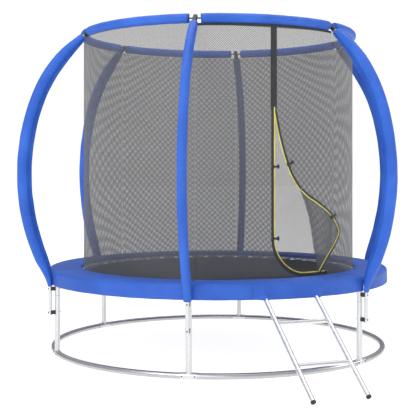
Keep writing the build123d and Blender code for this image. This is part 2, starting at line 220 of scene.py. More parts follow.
def metal(name, colour, rough, spangle, metallic, scale):
    """Zinc-coated steel: faint crystal patches, dirt and small roughness changes."""
    m, t, s = nodes_of(name)
    c = t.nodes.new("ShaderNodeTexCoord")
    v = t.nodes.new("ShaderNodeTexVoronoi")
    v.inputs["Scale"].default_value = scale
    t.links.new(c.outputs["Object"], v.inputs["Vector"])
    dirt = noise_node(t, c.outputs["Object"], 6, 4)
    crystal = math_node(t, "MULTIPLY", v.outputs["Distance"], 0.6)
    patch = math_node(t, "ADD", crystal, math_node(t, "MULTIPLY", dirt, 0.6))
    dark = tuple(x * (1 - 2 * spangle) for x in colour)
    light = tuple(min(1.0, x * (1 + spangle)) for x in colour)
    t.links.new(ramp(t, patch, [(0.2, dark), (0.5, colour), (0.8, light)]), s.inputs["Base Color"])
    s.inputs["Metallic"].default_value = metallic
    vary_roughness(t, s, patch, rough - 0.07, rough + 0.10)
    bump(t, s, noise_node(t, c.outputs["Object"], 60, 2), 0.04, 0.0006)
    return m


def plastic(name, colour, rough, grain=420, depth=0.0004):
    """Moulded plastic or rubber with a fine grain."""
    m, t, s = nodes_of(name)
    c = t.nodes.new("ShaderNodeTexCoord")
    n = noise_node(t, c.outputs["Object"], 20, 3)
    col = mix_colour(t, n, tuple(v * 0.75 for v in colour), tuple(v * 1.4 for v in colour))
    t.links.new(col, s.inputs["Base Color"])
    vary_roughness(t, s, n, rough - 0.08, rough + 0.12)
    bump(t, s, noise_node(t, c.outputs["Object"], grain, 2), 0.25, depth)
    return m


def mat_weave(name):
    """Tight woven bed: a near-black grid with fine pale dots at the thread crossings."""
    m, t, s = nodes_of(name)
    c = t.nodes.new("ShaderNodeTexCoord")
    dots = math_node(t, "MAXIMUM", grid_wave(t, c.outputs["Object"], 0.030), 0.0)
    dots = math_node(t, "POWER", dots, 3.0)
    fine = grid_wave(t, c.outputs["Object"], 0.0036)
    dust = noise_node(t, c.outputs["Object"], 2.2, 4)
    col = ramp(t, dust, [(0.3, (0.007, 0.007, 0.008)), (0.75, (0.015, 0.015, 0.017))])
    col = mix_colour(t, span(t, dots, 0.0, 0.55), col, (0.060, 0.060, 0.063))
    t.links.new(col, s.inputs["Base Color"])
    vary_roughness(t, s, dust, 0.50, 0.68)
    bump(t, s, math_node(t, "ADD", math_node(t, "MULTIPLY", dots, 0.5), fine), 0.4, 0.0008)
    return m


M = {
    "sleeve": coated_fabric("blue_sleeve_cover", (0.022, 0.125, 0.61), (0.016, 0.102, 0.53),
                            (0.036, 0.160, 0.71)),
    "pad": coated_fabric("blue_pad_cover", (0.022, 0.112, 0.55), (0.016, 0.093, 0.48), (0.036, 0.139, 0.62),
                         0.48, 7.0),
    "net": net_cloth("black_net", 0.662),
    "flap": net_cloth("black_net_folded", 0.72),
    "band": webbing("net_seam_band", (0.020, 0.020, 0.022), (0.05, 0.05, 0.054)),
    "tape": webbing("zip_tape_dark", (0.022, 0.022, 0.023), (0.065, 0.065, 0.066), 0.005),
    "teeth": zip_teeth("zip_coil_yellow"),
    "mat": mat_weave("jump_mat_weave"),
    "edge": webbing("mat_edge_webbing", (0.016, 0.016, 0.018), (0.045, 0.045, 0.05), 0.006),
    "dark_thread": webbing("mat_stitching", (0.030, 0.030, 0.032), (0.055, 0.055, 0.058), 0.003),
    "thread": webbing("stitching_thread", (0.18, 0.24, 0.50), (0.30, 0.38, 0.66), 0.003),
    "galv": metal("galvanised_tube", (0.70, 0.705, 0.71), 0.29, 0.04, 0.92, 45),
    # Painted shade: a darker copy of the galvanised tube for the base ring, which sits low in the shade
    # under the pad.
    "base": metal("galvanised_tube_painted_shade", (0.52, 0.522, 0.52), 0.30, 0.05, 0.92, 45),
    "ladder": metal("ladder_tube", (0.80, 0.80, 0.80), 0.30, 0.03, 0.93, 45),
    "zinc": metal("zinc_fastener", (0.60, 0.61, 0.62), 0.30, 0.12, 0.9, 200),
    "spring": metal("spring_wire", (0.78, 0.79, 0.80), 0.22, 0.08, 0.95, 160),
    "dark_bolt": metal("dark_bolt", (0.10, 0.10, 0.105), 0.38, 0.15, 0.8, 200),
    "black": plastic("moulded_black", (0.022, 0.022, 0.022), 0.42),
    "rubber": plastic("foot_rubber", (0.018, 0.018, 0.018), 0.62, 300, 0.0008),
    "rod": plastic("fibreglass_rod", (0.03, 0.028, 0.024), 0.30, 900, 0.0002),
}


# ------------------------------------------------------------------ mesh helpers
def place(t, r, z):
    """A point at the angle t in degrees from -Y towards +X."""
    a = radians(t)
    return Vector((r * sin(a), -r * cos(a), z))


def wobble(x, y, z, size):
    """Fixed noise of about -size to size, the same at the same place."""
    return noise.noise(Vector((x, y, z))) * size


def make(name, verts, faces, mats, uvs, body, picks=None):
    """A smooth mesh object on a body; a piece given no body is left without one."""
    mesh = bpy.data.meshes.new(name)
    mesh.from_pydata([tuple(v) for v in verts], [], faces)
    mesh.validate(clean_customdata=False)
    for m in mats:
        mesh.materials.append(m)
    layer = mesh.uv_layers.new(name="UVMap")
    for loop in mesh.loops:
        layer.data[loop.index].uv = uvs[loop.vertex_index]
    for k, p in enumerate(mesh.polygons):
        p.use_smooth = True
        if picks:
            p.material_index = picks[k]
    o = bpy.data.objects.new(name, mesh)
    bpy.context.scene.collection.objects.link(o)
    if body:
        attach(o, body)
    return o


def skin(rows, close_row, close_col, cap, base):
    """Faces between consecutive rows of points; every row has the same count."""
    n, count = len(rows), len(rows[0])
    faces = []
    for i in range(n if close_col else n - 1):
        for j in range(count if close_row else count - 1):
            a, b = i * count + j, i * count + (j + 1) % count
            c, d = ((i + 1) % n) * count + (j + 1) % count, ((i + 1) % n) * count + j
            faces.append((base + a, base + b, base + c, base + d))
    if cap:
        faces.append(tuple(base + j for j in reversed(range(count))))
        faces.append(tuple(base + (n - 1) * count + j for j in range(count)))
    return faces


class Build:
    """Collects several shells into one mesh."""

    def __init__(self):
        self.v, self.f, self.uv, self.pick = [], [], [], []

    def rows(self, rows, uvs=None, close_row=True, close_col=False, cap=True, pick=0):
        """Adds a shell of one row after another; pick is the number of its material."""
        base = len(self.v)
        new = skin(rows, close_row, close_col, cap and not close_col, base)
        for i, row in enumerate(rows):
            for j, p in enumerate(row):
                self.v.append(p)
                self.uv.append(uvs[i][j] if uvs else (0.01 * j, 0.01 * i))
        self.f += new
        self.pick += [pick] * len(new)

    def tube(self, points, radius, sides=8, closed=False, pick=0, squash=1.0):
        """A round bar along points; radius is a number, or one for each point."""
        pts = [Vector(p) for p in points]
        n = len(pts)
        up, rows, uvs, run = None, [], [], 0.0
        for i, p in enumerate(pts):
            a = pts[(i - 1) % n] if closed or i else pts[0]
            b = pts[(i + 1) % n] if closed or i < n - 1 else pts[-1]
            way = (b - a).normalized()
            if up is None:
                up = way.orthogonal().normalized()
            up = (up - way * up.dot(way)).normalized()
            side = way.cross(up)
            r = radius[i] if isinstance(radius, (list, tuple)) else radius
            if i:
                run += (p - pts[i - 1]).length
            rows.append([p + (up * cos(2 * pi * k / sides) + side * squash * sin(2 * pi * k / sides)) * r
                         for k in range(sides)])
            uvs.append([(run, 2 * pi * r * k / sides) for k in range(sides)])
        self.rows(rows, uvs, close_col=closed, pick=pick)

    def box(self, corner_fn):
        """A box with its edges cut off, from a function of (x, y, z) in -1..1."""
        c = 0.82
        rows = []
        for z, k in ((-1, c), (-c, 1), (c, 1), (1, c)):
            rows.append([corner_fn(x * k, y * k, z) for x, y in
                         ((-1, -c), (-c, -1), (c, -1), (1, -c), (1, c), (c, 1), (-c, 1), (-1, c))])
        self.rows(rows)

    def make(self, name, mats, body, slot):
        return make(name, self.v, self.f, mats, self.uv, body, self.pick)


# ------------------------------------------------------------------ pole line and padded sleeves
FOOT = (1.250, 0.284)
# The pole from its foot up: a straight of (length, 0) or a bend of (radius, degrees towards the axis).
BENDS = [(0.166, 0.0), (0.445, -24.75), (1.500, 44.3), (1.024, 26.6), (0.148, 0.0)]


def pole_at(s):
    """Distance from the ring axis, height and direction of the pole's centre line at length s."""
    r, z, a = FOOT[0], FOOT[1], pi / 2
    for size, turn in BENDS:
        length = size if turn == 0 else size * abs(radians(turn))
        step = min(s, length) if (size, turn) != BENDS[-1] else s
        if turn == 0:
            r, z = r + step * cos(a), z + step * sin(a)
        else:
            sign = 1 if turn > 0 else -1
            b = a + sign * step / size
            r, z = r + sign * size * (sin(b) - sin(a)), z - sign * size * (cos(b) - cos(a))
            a = b
        s -= step
        if s <= 1e-9:
            break
    return r, z, a


POLE_LENGTH = sum(size if turn == 0 else size * abs(radians(turn)) for size, turn in BENDS)
# The sleeve along the pole: length from the foot, half its depth in and out, half its width across.
WIDTHS = [
    (0.206, 0.0155, 0.026), (0.24, 0.021, 0.0275), (0.29, 0.030, 0.0285), (0.34, 0.038, 0.029),
    (0.40, 0.045, 0.030), (0.62, 0.0495, 0.030), (1.05, 0.0500, 0.030), (1.75, 0.0490, 0.030),
    (1.93, 0.044, 0.0295), (POLE_LENGTH - 0.12, 0.034, 0.029), (POLE_LENGTH - 0.058, 0.028, 0.027),
]
SLEEVE_POWER = 2.35
SLEEVE_BORE = 0.0135


def between(table, s):
    """The values of a table at s, on straight lines between its rows."""
    for low, high in zip(table, table[1:]):
        if s <= high[0]:
            k = (s - low[0]) / (high[0] - low[0])
            k = max(0.0, k)
            return [low[i] + (high[i] - low[i]) * k for i in range(1, len(low))]
    return list(table[-1][1:])


def super_round(angle, a, b, power):
    """A point of an ellipse with fuller corners, the fuller the higher the power."""
    c, s = cos(angle), sin(angle)
    k = (abs(c) ** power + abs(s) ** power) ** (-1 / power)
    return a * k * c, b * k * s


def pulse(x):
    return 1 / (1 + x * x * 1.4)


def pole_sleeve(number, station):
    """Foam tube in a blue cover: flattened, with a long crease, a hem at both ends and soft dents."""
    rows, uvs = [], []
    sides, steps = 36, 110
    start, end = WIDTHS[0][0], WIDTHS[-1][0]
    for i in range(steps + 1):
        k = i / steps
        s = start + (end - start) * k
        r, z, a = pole_at(s)
        half, across = between(WIDTHS, s)
        dents = 1 + wobble(s * 7.0, number * 3.1, 0.0, 0.030)
        row, uv = [], []
        for j in range(sides):
            angle = 2 * pi * j / sides
            p, q = super_round(angle, half, across, SLEEVE_POWER)
            crease = 0.0030 * pulse((j / sides - 0.30) * sides) + 0.0022 * pulse((j / sides - 0.80) * sides)
            p *= dents * (1 - crease / max(half, 0.02))
            q *= dents
            q -= crease * (1 if q > 0 else -1)
            flat = min(max((-p / half - 0.28) / 0.26, 0.0), 1.0)
            q *= 1 - 0.50 * flat * flat * (3 - 2 * flat)
            d = wobble(s * 11, cos(angle) * 1.3 + number, sin(angle) * 1.3, 0.0017)
            rr, zz = r + (p + d * cos(angle)) * sin(a), z - (p + d * cos(angle)) * cos(a)
            tangent = degrees((q + d * sin(angle)) / rr)
            row.append(place(station + tangent, rr, zz))
            uv.append((s, 0.24 * j / sides))
        rows.append(row)
        uvs.append(uv)
    for s, inward in ((start, 1), (end, -1)):
        half, across = between(WIDTHS, s)
        for along, a_half, a_across in ((-0.004, half * 0.86, across * 0.86),
                                        (0.006, SLEEVE_BORE, SLEEVE_BORE)):
            rr, zz, a = pole_at(s + inward * along)
            ring = []
            for j in range(sides):
                p, q = super_round(2 * pi * j / sides, a_half, a_across, 2.2)
                x = rr + p * sin(a)
                ring.append(place(station + degrees(q / x), x, zz - p * cos(a)))
            uv = [(s, 0.24 * j / sides) for j in range(sides)]
            if s == start:
                rows.insert(0, ring)
                uvs.insert(0, uv)
            else:
                rows.append(ring)
                uvs.append(uv)
    b = Build()
    b.rows(rows, uvs, cap=False)
    o = b.make(f"sleeve_pole_{number}", [M["sleeve"]], "root", "sleeve_cover")
    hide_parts(f"pole_sleeve_{number}")
    seam = Build()
    for side in (1, -1):
        for m in range(74):
            s = start + 0.03 + (end - start - 0.06) * m / 74
            pts = []
            for e in (0.0, 0.009):
                r, z, a = pole_at(s + e)
                half, across = between(WIDTHS, s + e)
                p, q = super_round(radians(108), half, across, SLEEVE_POWER)
                x = r + p * sin(a)
                pts.append(place(station + side * degrees((q - 0.0008) / x), x, z - p * cos(a)))
            seam.tube(pts, 0.0006, 4)
    seam.make(f"stitches_pole_{number}", [M["thread"]], "root", "sleeve_cover")


def ring_sleeve(number, middle):
    """Foam tube round the top ring, gathered and hemmed at each end."""
    radius, half_arc = 0.032, 27.6
    rows, uvs, sides, steps = [], [], 28, 72
    for i in range(-2, steps + 3):
        k = min(max(i / steps, 0), 1)
        t = middle - half_arc + 2 * half_arc * k
        end = min(k, 1 - k) * 2 * half_arc * pi / 180 * RING_R
        size = radius * (0.955 + 0.035 * min(1, end / 0.02)) * (1 + wobble(k * 14, number * 5.0, 2.0, 0.02))
        if i in (-1, steps + 1):
            size *= 0.80
        if i in (-2, steps + 2):
            size = 0.0062
        row, uv = [], []
        for j in range(sides):
            a = 2 * pi * j / sides
            scallop = 0.0022 * sin(3 * a + number) * (1 - min(1, end / 0.03))
            d = wobble(k * 16, cos(a) * 1.5 + number, sin(a) * 1.5, 0.0012)
            rr = RING_R + (size + d) * cos(a)
            zz = RING_Z + (size + d) * sin(a)
            row.append(place(t + degrees(scallop), rr, zz))
            uv.append((radians(t) * RING_R, 0.2 * j / sides))
        rows.append(row)
        uvs.append(uv)
    b = Build()
    b.rows(rows, uvs, cap=False)
    o = b.make(f"sleeve_ring_{number}", [M["sleeve"]], "root", "sleeve_cover")
    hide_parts(f"ring_sleeve_{number}")


for n, station in enumerate(STATIONS, 1):
    pole_sleeve(n, station)
    ring_sleeve(n, station + 30)


# ------------------------------------------------------------------ pad with its skirt
def pad_profile(skirt_z, swell, lip):
    """Section of the pad, from its inner bottom edge over the top and down the skirt, and back under it."""
    top = [(0.9945, PAD_RIM_Z), (0.9938, 0.582), (0.997, 0.5895), (1.006, 0.5930 + swell * 0.3)]
    for k in range(1, 8):
        x = k / 8
        top.append((1.006 + 0.206 * x, 0.5930 + swell * sin(pi * x) ** 0.6))
    top += [(1.214, 0.5925), (1.224, 0.5895), (1.2305, 0.583), (1.2325, PAD_RIM_Z)]
    down = [(1.2325 + lip * (PAD_RIM_Z - z) / 0.08, z) for z in
            [PAD_RIM_Z + (skirt_z - PAD_RIM_Z) * k / 5 for k in range(1, 6)]]
    back = [(r - 0.0026, z) for r, z in reversed(down)]
    return top + down + [(down[-1][0] - 0.0013, skirt_z - 0.0008)] + back + [(1.2295, 0.573), (1.10, 0.573)]


LADDER_HALF_DEG = 10.6


def pad_segment(number, first):
    """One sixth of the pad with its own skirt, which stops at the rim over the ladder."""
    gap, columns = 0.22, 120
    rows, uvs = [], []
    for i in range(columns + 1):
        t = first + gap + (60 - 2 * gap) * i / columns
        to_end = min(t - first, first + 60 - t)
        swell = 0.0050 * min(1, to_end / 2.0) + wobble(t * 0.11, number, 0.3, 0.0012)
        lip = 0.002 + wobble(t * 0.09, 4.2, number * 1.7, 0.003)
        low = 0.4945 + wobble(t * 0.2, 9.2, 0, 0.0016)
        if abs(t) < LADDER_HALF_DEG:
            low, lip = 0.5705, 0.0
        profile = pad_profile(low, swell, lip)
        row, uv, run = [], [], 0.0
        for j, (r, z) in enumerate(profile):
            if j:
                run += hypot(r - profile[j - 1][0], z - profile[j - 1][1])
            d = wobble(t * 0.16, r * 14, z * 16, 0.0011) if 2 < j < 14 else 0
            row.append(place(t, r, z + d))
            uv.append((radians(t) * 1.1, run))
        rows.append(row)
        uvs.append(uv)
    b = Build()
    b.rows(rows, uvs)
    o = b.make(f"pad_{number}", [M["pad"]], "root", "pad_cover")
    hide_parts("safety_pad")
    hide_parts("pad_skirt")
    stitch = Build()
    pitch, length, r, z = 0.62, 0.36, SKIRT_R + 0.003, 0.5015
    for m in range(int(60 / pitch)):
        t = first + 0.5 + m * pitch
        if abs(t) < LADDER_HALF_DEG + 0.7 or t > first + 59.3:
            continue
        stitch.tube([place(t, r, z), place(t + length, r, z)], 0.0006, 4)
    stitch.make(f"pad_stitches_{number}", [M["thread"]], "root", "pad_cover")


for n, station in enumerate(STATIONS, 1):
    pad_segment(n, station)


def ladder_skirt():
    """The skirt over the ladder's hooks: it bulges over each rail."""
    columns, rows, uvs = 96, [], []
    half = LADDER_HALF_DEG + 0.75
    for i in range(columns + 1):
        t = -half + 2 * half * i / columns
        x = 1.235 * sin(radians(t))
        over = max(0.0, 1 - abs((abs(x) - LADDER_RAIL_X) / 0.062)) ** 1.2
        between_rails = 1.0 if abs(x) < LADDER_RAIL_X else 0.0
        edge = min(1.0, (half - abs(t)) / 1.5)
        out = max(0.0500 * over, 0.0215 * edge * between_rails, 0.0042)
        path = [(1.2285, 0.5885), (1.2315, 0.5825), (SKIRT_R, PAD_RIM_Z)]
        for k in range(1, 8):
            down = k / 7
            path.append((SKIRT_R + 0.0018 + out * down ** 1.15, PAD_RIM_Z - 0.0785 * down))
        outer = [place(t, r, z) for r, z in path]
        inner = [place(t, r - 0.0024, z) for r, z in reversed(path)]
        rows.append(outer + inner)
        uvs.append([(radians(t) * 1.235, 0.012 * k) for k in range(len(outer) + len(inner))])
    b = Build()
    b.rows(rows, uvs)
    o = b.make("pad_skirt_over_ladder", [M["pad"]], None, "pad_cover")
    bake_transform(o)


ladder_skirt()


# ------------------------------------------------------------------ mat, V-rings and springs
def mat_sag(r):
    return -0.004 * (1 - (r / MAT_R) ** 2)


def spring_angle(k):
    return (k + 0.5) * 360 / SPRINGS


def jump_mat():
    b = Build()
    rings, sectors = 34, 144
    rows, uvs = [], []
    for i in range(rings + 1):
        r = 0.004 + (0.9155 - 0.004) * i / rings
        row, uv = [], []
        for j in range(sectors):
            t = 360 * j / sectors
            sag = mat_sag(r) + wobble(r * 3 * sin(radians(t)), r * 3 * cos(radians(t)), 0.7, 0.0012)
            p = place(t, r, MAT_Z + sag * (1 - (r / 0.92) ** 6))
            row.append(p)
            uv.append((p.x, p.y))
        rows.append(row)
        uvs.append(uv)
    under = [[p - Vector((0, 0, 0.0026)) for p in row] for row in reversed(rows)]
    b.rows(rows + under, uvs + list(reversed(uvs)), close_col=True)
    o = b.make("mat", [M["mat"]], "bed", "mat_fabric")
    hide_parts("jump_mat")
    b = Build()
    edge_rows, edge_uv = [], []
    for r, z in ((0.912, 0.5540), (0.912, 0.5588), (0.9165, 0.5598), (0.935, 0.5601), (0.951, 0.5598),
                 (0.9548, 0.5588), (0.9548, 0.5542), (0.9510, 0.5530), (0.9165, 0.5530)):
        edge_rows.append([place(360 * j / sectors, r, z) for j in range(sectors)])
        edge_uv.append([(2 * pi * 0.93 * j / sectors, r) for j in range(sectors)])
    b.rows(edge_rows, edge_uv, close_col=True)
    for x in (-0.62, 0.0, 0.62):
        h = (0.912 ** 2 - x * x) ** 0.5
        seam = [-h + 2 * h * k / 60 for k in range(61)]
        for off in (-0.006, 0.006):
            b.tube([(x + off, y, MAT_Z + mat_sag(hypot(x, y)) + 0.0007) for y in seam], 0.0011, 5, pick=1)
    edge = b.make("mat_edge", [M["edge"], M["band"]], "bed", "mat_fabric")
    s = Build()
    for rad in (0.919, 0.949):
        for m in range(240):
            s.tube([place(m * 1.5, rad, 0.5606), place(m * 1.5 + 0.85, rad, 0.5606)], 0.0007, 4)
    s.make("mat_edge_stitches", [M["dark_thread"]], "bed", "mat_fabric")


def v_rings():
    b = Build()
    for k in range(SPRINGS):
        t = spring_angle(k)
        pts = []
        for r, x in ((0.9585, -0.0165), (0.9585, 0.0), (0.9585, 0.0165), (0.970, 0.0095), (0.983, 0.0022),
                     (0.9865, 0.0), (0.983, -0.0022), (0.970, -0.0095)):
            pts.append(place(t + degrees(x / r), r, SPRING_Z))
        b.tube(pts, 0.0018, 8, closed=True)
        for tab in (t - 0.55, t + 0.55):
            b.tube([place(tab, r, SPRING_Z) for r in (0.945, 0.9575)], 0.006, 6, pick=1, squash=0.4)
    o = b.make("v_ring_wires", [M["spring"], M["edge"]], "bed", "fasteners")
    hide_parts("v_rings")


def springs():
    """Each spring as a real coil, with the laced strip that lies over its hook."""
    turns, per_turn, coil = 34, 9, 0.0062
    for k in range(SPRINGS):
        t = spring_angle(k)
        b = Build()
        pts = [(0.9868, 0.0, 0.0035), (0.9885, 0.0, 0.0045), (0.992, 0.0, 0.0025), (0.998, 0.0, 0.0),
               (1.008, 0.0, 0.0)]
        for i in range(turns * per_turn + 1):
            a = 2 * pi * i / per_turn
            pts.append((1.012 + 0.148 * i / (turns * per_turn), coil * sin(a), coil * cos(a)))
        pts += [(1.165, 0.0, 0.0), (1.172, 0.0, 0.0), (1.1785, 0.0, 0.0018), (1.1805, 0.0, -0.0005)]
        run = []
        for r, x, h in pts:
            z = SPRING_Z - 0.006 * (r - 0.985) / 0.195
            run.append(place(t + degrees(x / r), r, z + h))
        b.tube(run, 0.0013, 5)
        lace, lace_uv = [], []
        for i in range(7):
            x = t - 2.9 + 5.8 * i / 6
            top = [place(x, 0.9560 + 0.0272 * j / 3, 0.5622 + 0.0033 * j / 3) for j in range(4)]
            lace.append(top + [p - Vector((0, 0, 0.0011)) for p in reversed(top)])
            lace_uv.append([(radians(x) * 0.97, 0.009 * j) for j in (0, 1, 2, 3, 3, 2, 1, 0)])
        b.rows(lace, lace_uv, pick=1)
        o = b.make(f"spring_{k + 1:02d}", [M["spring"], M["edge"]], None, "spring_steel")
        if k == 0:
            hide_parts("springs")
        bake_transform(o)


jump_mat()
v_rings()
springs()


# ------------------------------------------------------------------ net, door and zip
def smooth_line(points, per=10):
    """A Catmull-Rom curve through the points, with per steps between each two."""
    pts = [Vector((*p, 0)) for p in points]
    pts = [2 * pts[0] - pts[1]] + pts + [2 * pts[-1] - pts[-2]]
    out = []
    for a, b, c, d in zip(pts, pts[1:], pts[2:], pts[3:]):
        for k in range(per):
            x = k / per
            out.append(0.5 * (2 * b + (c - a) * x + (2 * a - 5 * b + 4 * c - d) * x * x
                              + (3 * b - a - 3 * c + d) * x ** 3))
    out.append(pts[-2])
    return [(p.x, p.y) for p in out]


# Lines on the net's wall, as (distance along it from -Y, height): the zip down to its bend, the sill, the
# edge of the net above the flap, the flap's crease, both as one fold line, and the flap's free edge.
ZIP_TOP, ZIP_BEND, SILL_Z = 1.70, 0.24, 0.615
ZIP = [(0.0, ZIP_TOP - 0.845 * k / 12) for k in range(12)]
ZIP += [(ZIP_BEND * (1 - cos(a)), 0.855 - ZIP_BEND * sin(a)) for a in (radians(d) for d in range(0, 91, 6))]
SILL = [(ZIP_BEND + 0.217 * k / 8, SILL_Z) for k in range(1, 9)]
# The last point of the top edge only bends the curve before it, so its last steps are left out.
TOP_EDGE = smooth_line([(0.0, ZIP_TOP), (0.045, 1.49), (0.105, 1.31), (0.152, 1.226), (0.20, 1.165),
                        (0.262, 1.116)])[:-10]
CREASE = smooth_line([(0.20, 1.165), (0.272, 0.985), (0.32, 0.77), (0.352, 0.616)], 8)
FOLD_LINE = TOP_EDGE[:-1] + CREASE
FREE = smooth_line([(0.204, 1.160), (0.262, 1.116), (0.335, 1.078), (0.471, 1.000), (0.562, 0.925),
                    (0.590, 0.868), (0.545, 0.808), (0.450, 0.722), (0.374, 0.640), (0.360, 0.618)], 8)
# Inner and outer radius of the tape and of the teeth on the net.
TAPE_ON_NET, TEETH_ON_NET = (0.9886, 0.9908), (0.9888, 0.9914)


def inside(p, polygon):
    hit = False
    for (x1, y1), (x2, y2) in zip(polygon, polygon[1:] + polygon[:1]):
        if (y1 > p[1]) != (y2 > p[1]) and p[0] < (x2 - x1) * (p[1] - y1) / (y2 - y1) + x1:
            hit = not hit
    return hit


def wall_point(u, z, r):
    return place(degrees(u / NET_R), r, z)


def cloth_from_outline(name, outline, holes, step, radius, mat, body):
    """A curved sheet cut to an outline drawn on the net's wall, with holes left open."""
    us, zs = [p[0] for p in outline], [p[1] for p in outline]
    pts, edges = [], []
    for loop in [outline] + holes:
        base = len(pts)
        pts += [Vector(p) for p in loop]
        edges += [(base + k, base + (k + 1) % len(loop)) for k in range(len(loop))]
    u = min(us) + step
    while u < max(us):
        z = min(zs) + step
        while z < max(zs):
            pts.append(Vector((u, z)))
            z += step
        u += step
    found = delaunay_2d_cdt(pts, edges, [], 0, 1e-6)
    verts, faces = found[0], found[2]
    kept = []
    for f in faces:
        c = (sum(verts[k][0] for k in f) / 3, sum(verts[k][1] for k in f) / 3)
        if inside(c, outline) and not any(inside(c, h) for h in holes):
            kept.append(tuple(f))
    used = sorted({k for f in kept for k in f})
    index = {k: n for n, k in enumerate(used)}
    flat = [(verts[k][0], verts[k][1]) for k in used]
    return make(name, [wall_point(u, z, radius(u, z)) for u, z in flat],
                [tuple(index[k] for k in reversed(f)) for f in kept], [mat], flat, body)


def hang(u, z):
    """The net's own radius, with slack that grows towards the bottom hem."""
    low = max(0.0, 1 - (z - NET_LOW) / 0.25)
    return NET_R - 0.0015 + wobble(u * 4.5, z * 0.9, 3.0, 0.0022) * (0.4 + low)


def nets():
    half = radians(30) * NET_R - 0.0005
    for n, station in enumerate(STATIONS, 1):
        middle = station + 30
        if middle == 0:
            opening = ZIP + [(0.352, SILL_Z)] + list(reversed(FOLD_LINE))[:-1]
            # Known fault: the outline has only its corners, so a flat triangle at the top and one at the
            # bottom cut straight across the curve. Points along those two edges would mend it.
            outline = [(-half, NET_LOW), (half, NET_LOW), (half, NET_HIGH), (-half, NET_HIGH)]
            o = cloth_from_outline(f"net_{n}", outline, [opening], 0.024, hang, M["net"], "root")
        else:
            cols, lines = 40, 60
            rows, uvs = [], []
            for i in range(lines + 1):
                z = NET_LOW + NET_HEIGHT * i / lines
                row = [(-half + 2 * half * j / cols, z) for j in range(cols + 1)]
                rows.append([place(middle + degrees(u / NET_R), hang(u + n * 7.0, z), z) for u, z in row])
                uvs.append(row)
            b = Build()
            b.rows(rows, uvs, close_row=False, cap=False)
            o = b.make(f"net_{n}", [M["net"]], "root", "safety_net")
        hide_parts(f"net_panel_{n}")


def offset_line(line, amount):
    """The line moved sideways, to its right for a positive amount."""
    out = []
    for k, (x, y) in enumerate(line):
        a, b = line[max(0, k - 1)], line[min(len(line) - 1, k + 1)]
        dx, dy = b[0] - a[0], b[1] - a[1]
        size = hypot(dx, dy) or 1
        out.append((x + dy / size * amount, y - dx / size * amount))
    return out


def strip(b, line, low, high, inner, outer, pick, crown=0.0):
    """A closed band along a line on the net's wall, between two offsets from it."""
    rows, uvs, run = [], [], 0.0
    edges = [offset_line(line, low + (high - low) * k / 4) for k in range(5)]
    for i in range(len(line)):
        if i:
            run += hypot(line[i][0] - line[i - 1][0], line[i][1] - line[i - 1][1])
        row = [wall_point(*edges[k][i], outer + crown * sin(pi * k / 4)) for k in range(5)]
        row += [wall_point(*edges[k][i], inner) for k in (4, 0)]
        rows.append(row)
        uvs.append([(run, low + (high - low) * k / 4) for k in (0, 1, 2, 3, 4, 4, 0)])
    b.rows(rows, uvs, pick=pick)


def even(line, step=0.012):
    """The same line with points an even distance apart."""
    out, left = [line[0]], step
    for (x1, y1), (x2, y2) in zip(line, line[1:]):
        length = hypot(x2 - x1, y2 - y1)
        at = left
        while at <= length:
            out.append((x1 + (x2 - x1) * at / length, y1 + (y2 - y1) * at / length))
            at += step
        left = at - length
    return out + [line[-1]]


def flap_radius(u, z):
    """The folded flap's radius: close to the net at the crease, and lifted away from it."""
    near = min(hypot(u - x, z - y) for x, y in CREASE)
    lift = min(1.0, near / 0.05)
    return 0.9925 + 0.0045 * lift ** 0.5 + wobble(u * 14, z * 14, 1.0, 0.0008)


def door():
    outline = CREASE[1:] + list(reversed(FREE))[:-1]
    outline = [(u + 0.004, z) if k < len(CREASE) - 1 else (u, z) for k, (u, z) in enumerate(outline)]
    o = cloth_from_outline("door_flap_cloth", outline, [], 0.018, flap_radius, M["flap"], "door_flap")
    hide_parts("door_flap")
    b = Build()
    edge = even(ZIP + SILL)
    strip(b, edge, -0.004, 0.018, *TAPE_ON_NET, 0)
    strip(b, edge, -0.0075, 0.0, *TEETH_ON_NET, 1, 0.0008)
    curve = even([p for p in TOP_EDGE if p[1] < 1.69])
    strip(b, curve, -0.016, 0.001, *TAPE_ON_NET, 0)
    strip(b, curve, -0.001, 0.0062, *TEETH_ON_NET, 1, 0.0008)
    o = b.make("zip_on_net", [M["tape"], M["teeth"]], "root", "zip_tape")
    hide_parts("zip_tape_fixed")
    b = Build()
    free = even(FREE)
    strip(b, free, -0.016, 0.002, 0.9985, 1.0005, 0)
    strip(b, free, -0.001, 0.0062, 0.9985, 1.0008, 1, 0.0008)
    o = b.make("zip_on_flap", [M["tape"], M["teeth"]], "door_flap", "zip_tape")
    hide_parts("zip_tape_flap")
    b = Build()
    strip(b, even([(0.0, NET_HIGH), (0.0, 1.69)]), -0.0215, 0.0215, 0.9886, 0.9898, 0)
    strip(b, even([(-0.5, 2.2245), (0.5, 2.2245)]), -0.008, 0.008, 0.9886, 0.9898, 0)
    b.make("net_seam_over_door", [M["band"]], "root", "zip_tape")


def bow(b, u, z, r, tilt):
    """A bow-tie toggle: two flared halves on a narrow waist, with its elastic wound round it."""
    sections = [(-0.0262, 0.0125), (-0.0232, 0.0155), (-0.0115, 0.0110), (-0.0055, 0.0062),
                (0.0055, 0.0062), (0.0115, 0.0110), (0.0232, 0.0155), (0.0262, 0.0125)]
    rows = []
    for x, h in sections:
        ring = []
        for k in range(12):
            a = 2 * pi * k / 12
            y, d = h * cos(a), 0.34 * h * sin(a)
            uu = u + x * cos(tilt) - y * sin(tilt)
            ring.append(wall_point(uu, z + x * sin(tilt) + y * cos(tilt), r + 0.0040 + d))
        rows.append(ring)
    b.rows(rows)
    for off in (-0.0015, 0.0, 0.0015):
        turns = [2 * pi * k / 10 for k in range(10)]
        loop = [wall_point(u + off, z + 0.0045 * cos(a), r + 0.0040 + 0.0034 * sin(a)) for a in turns]
        b.tube(loop, 0.0008, 5, closed=True, pick=1)


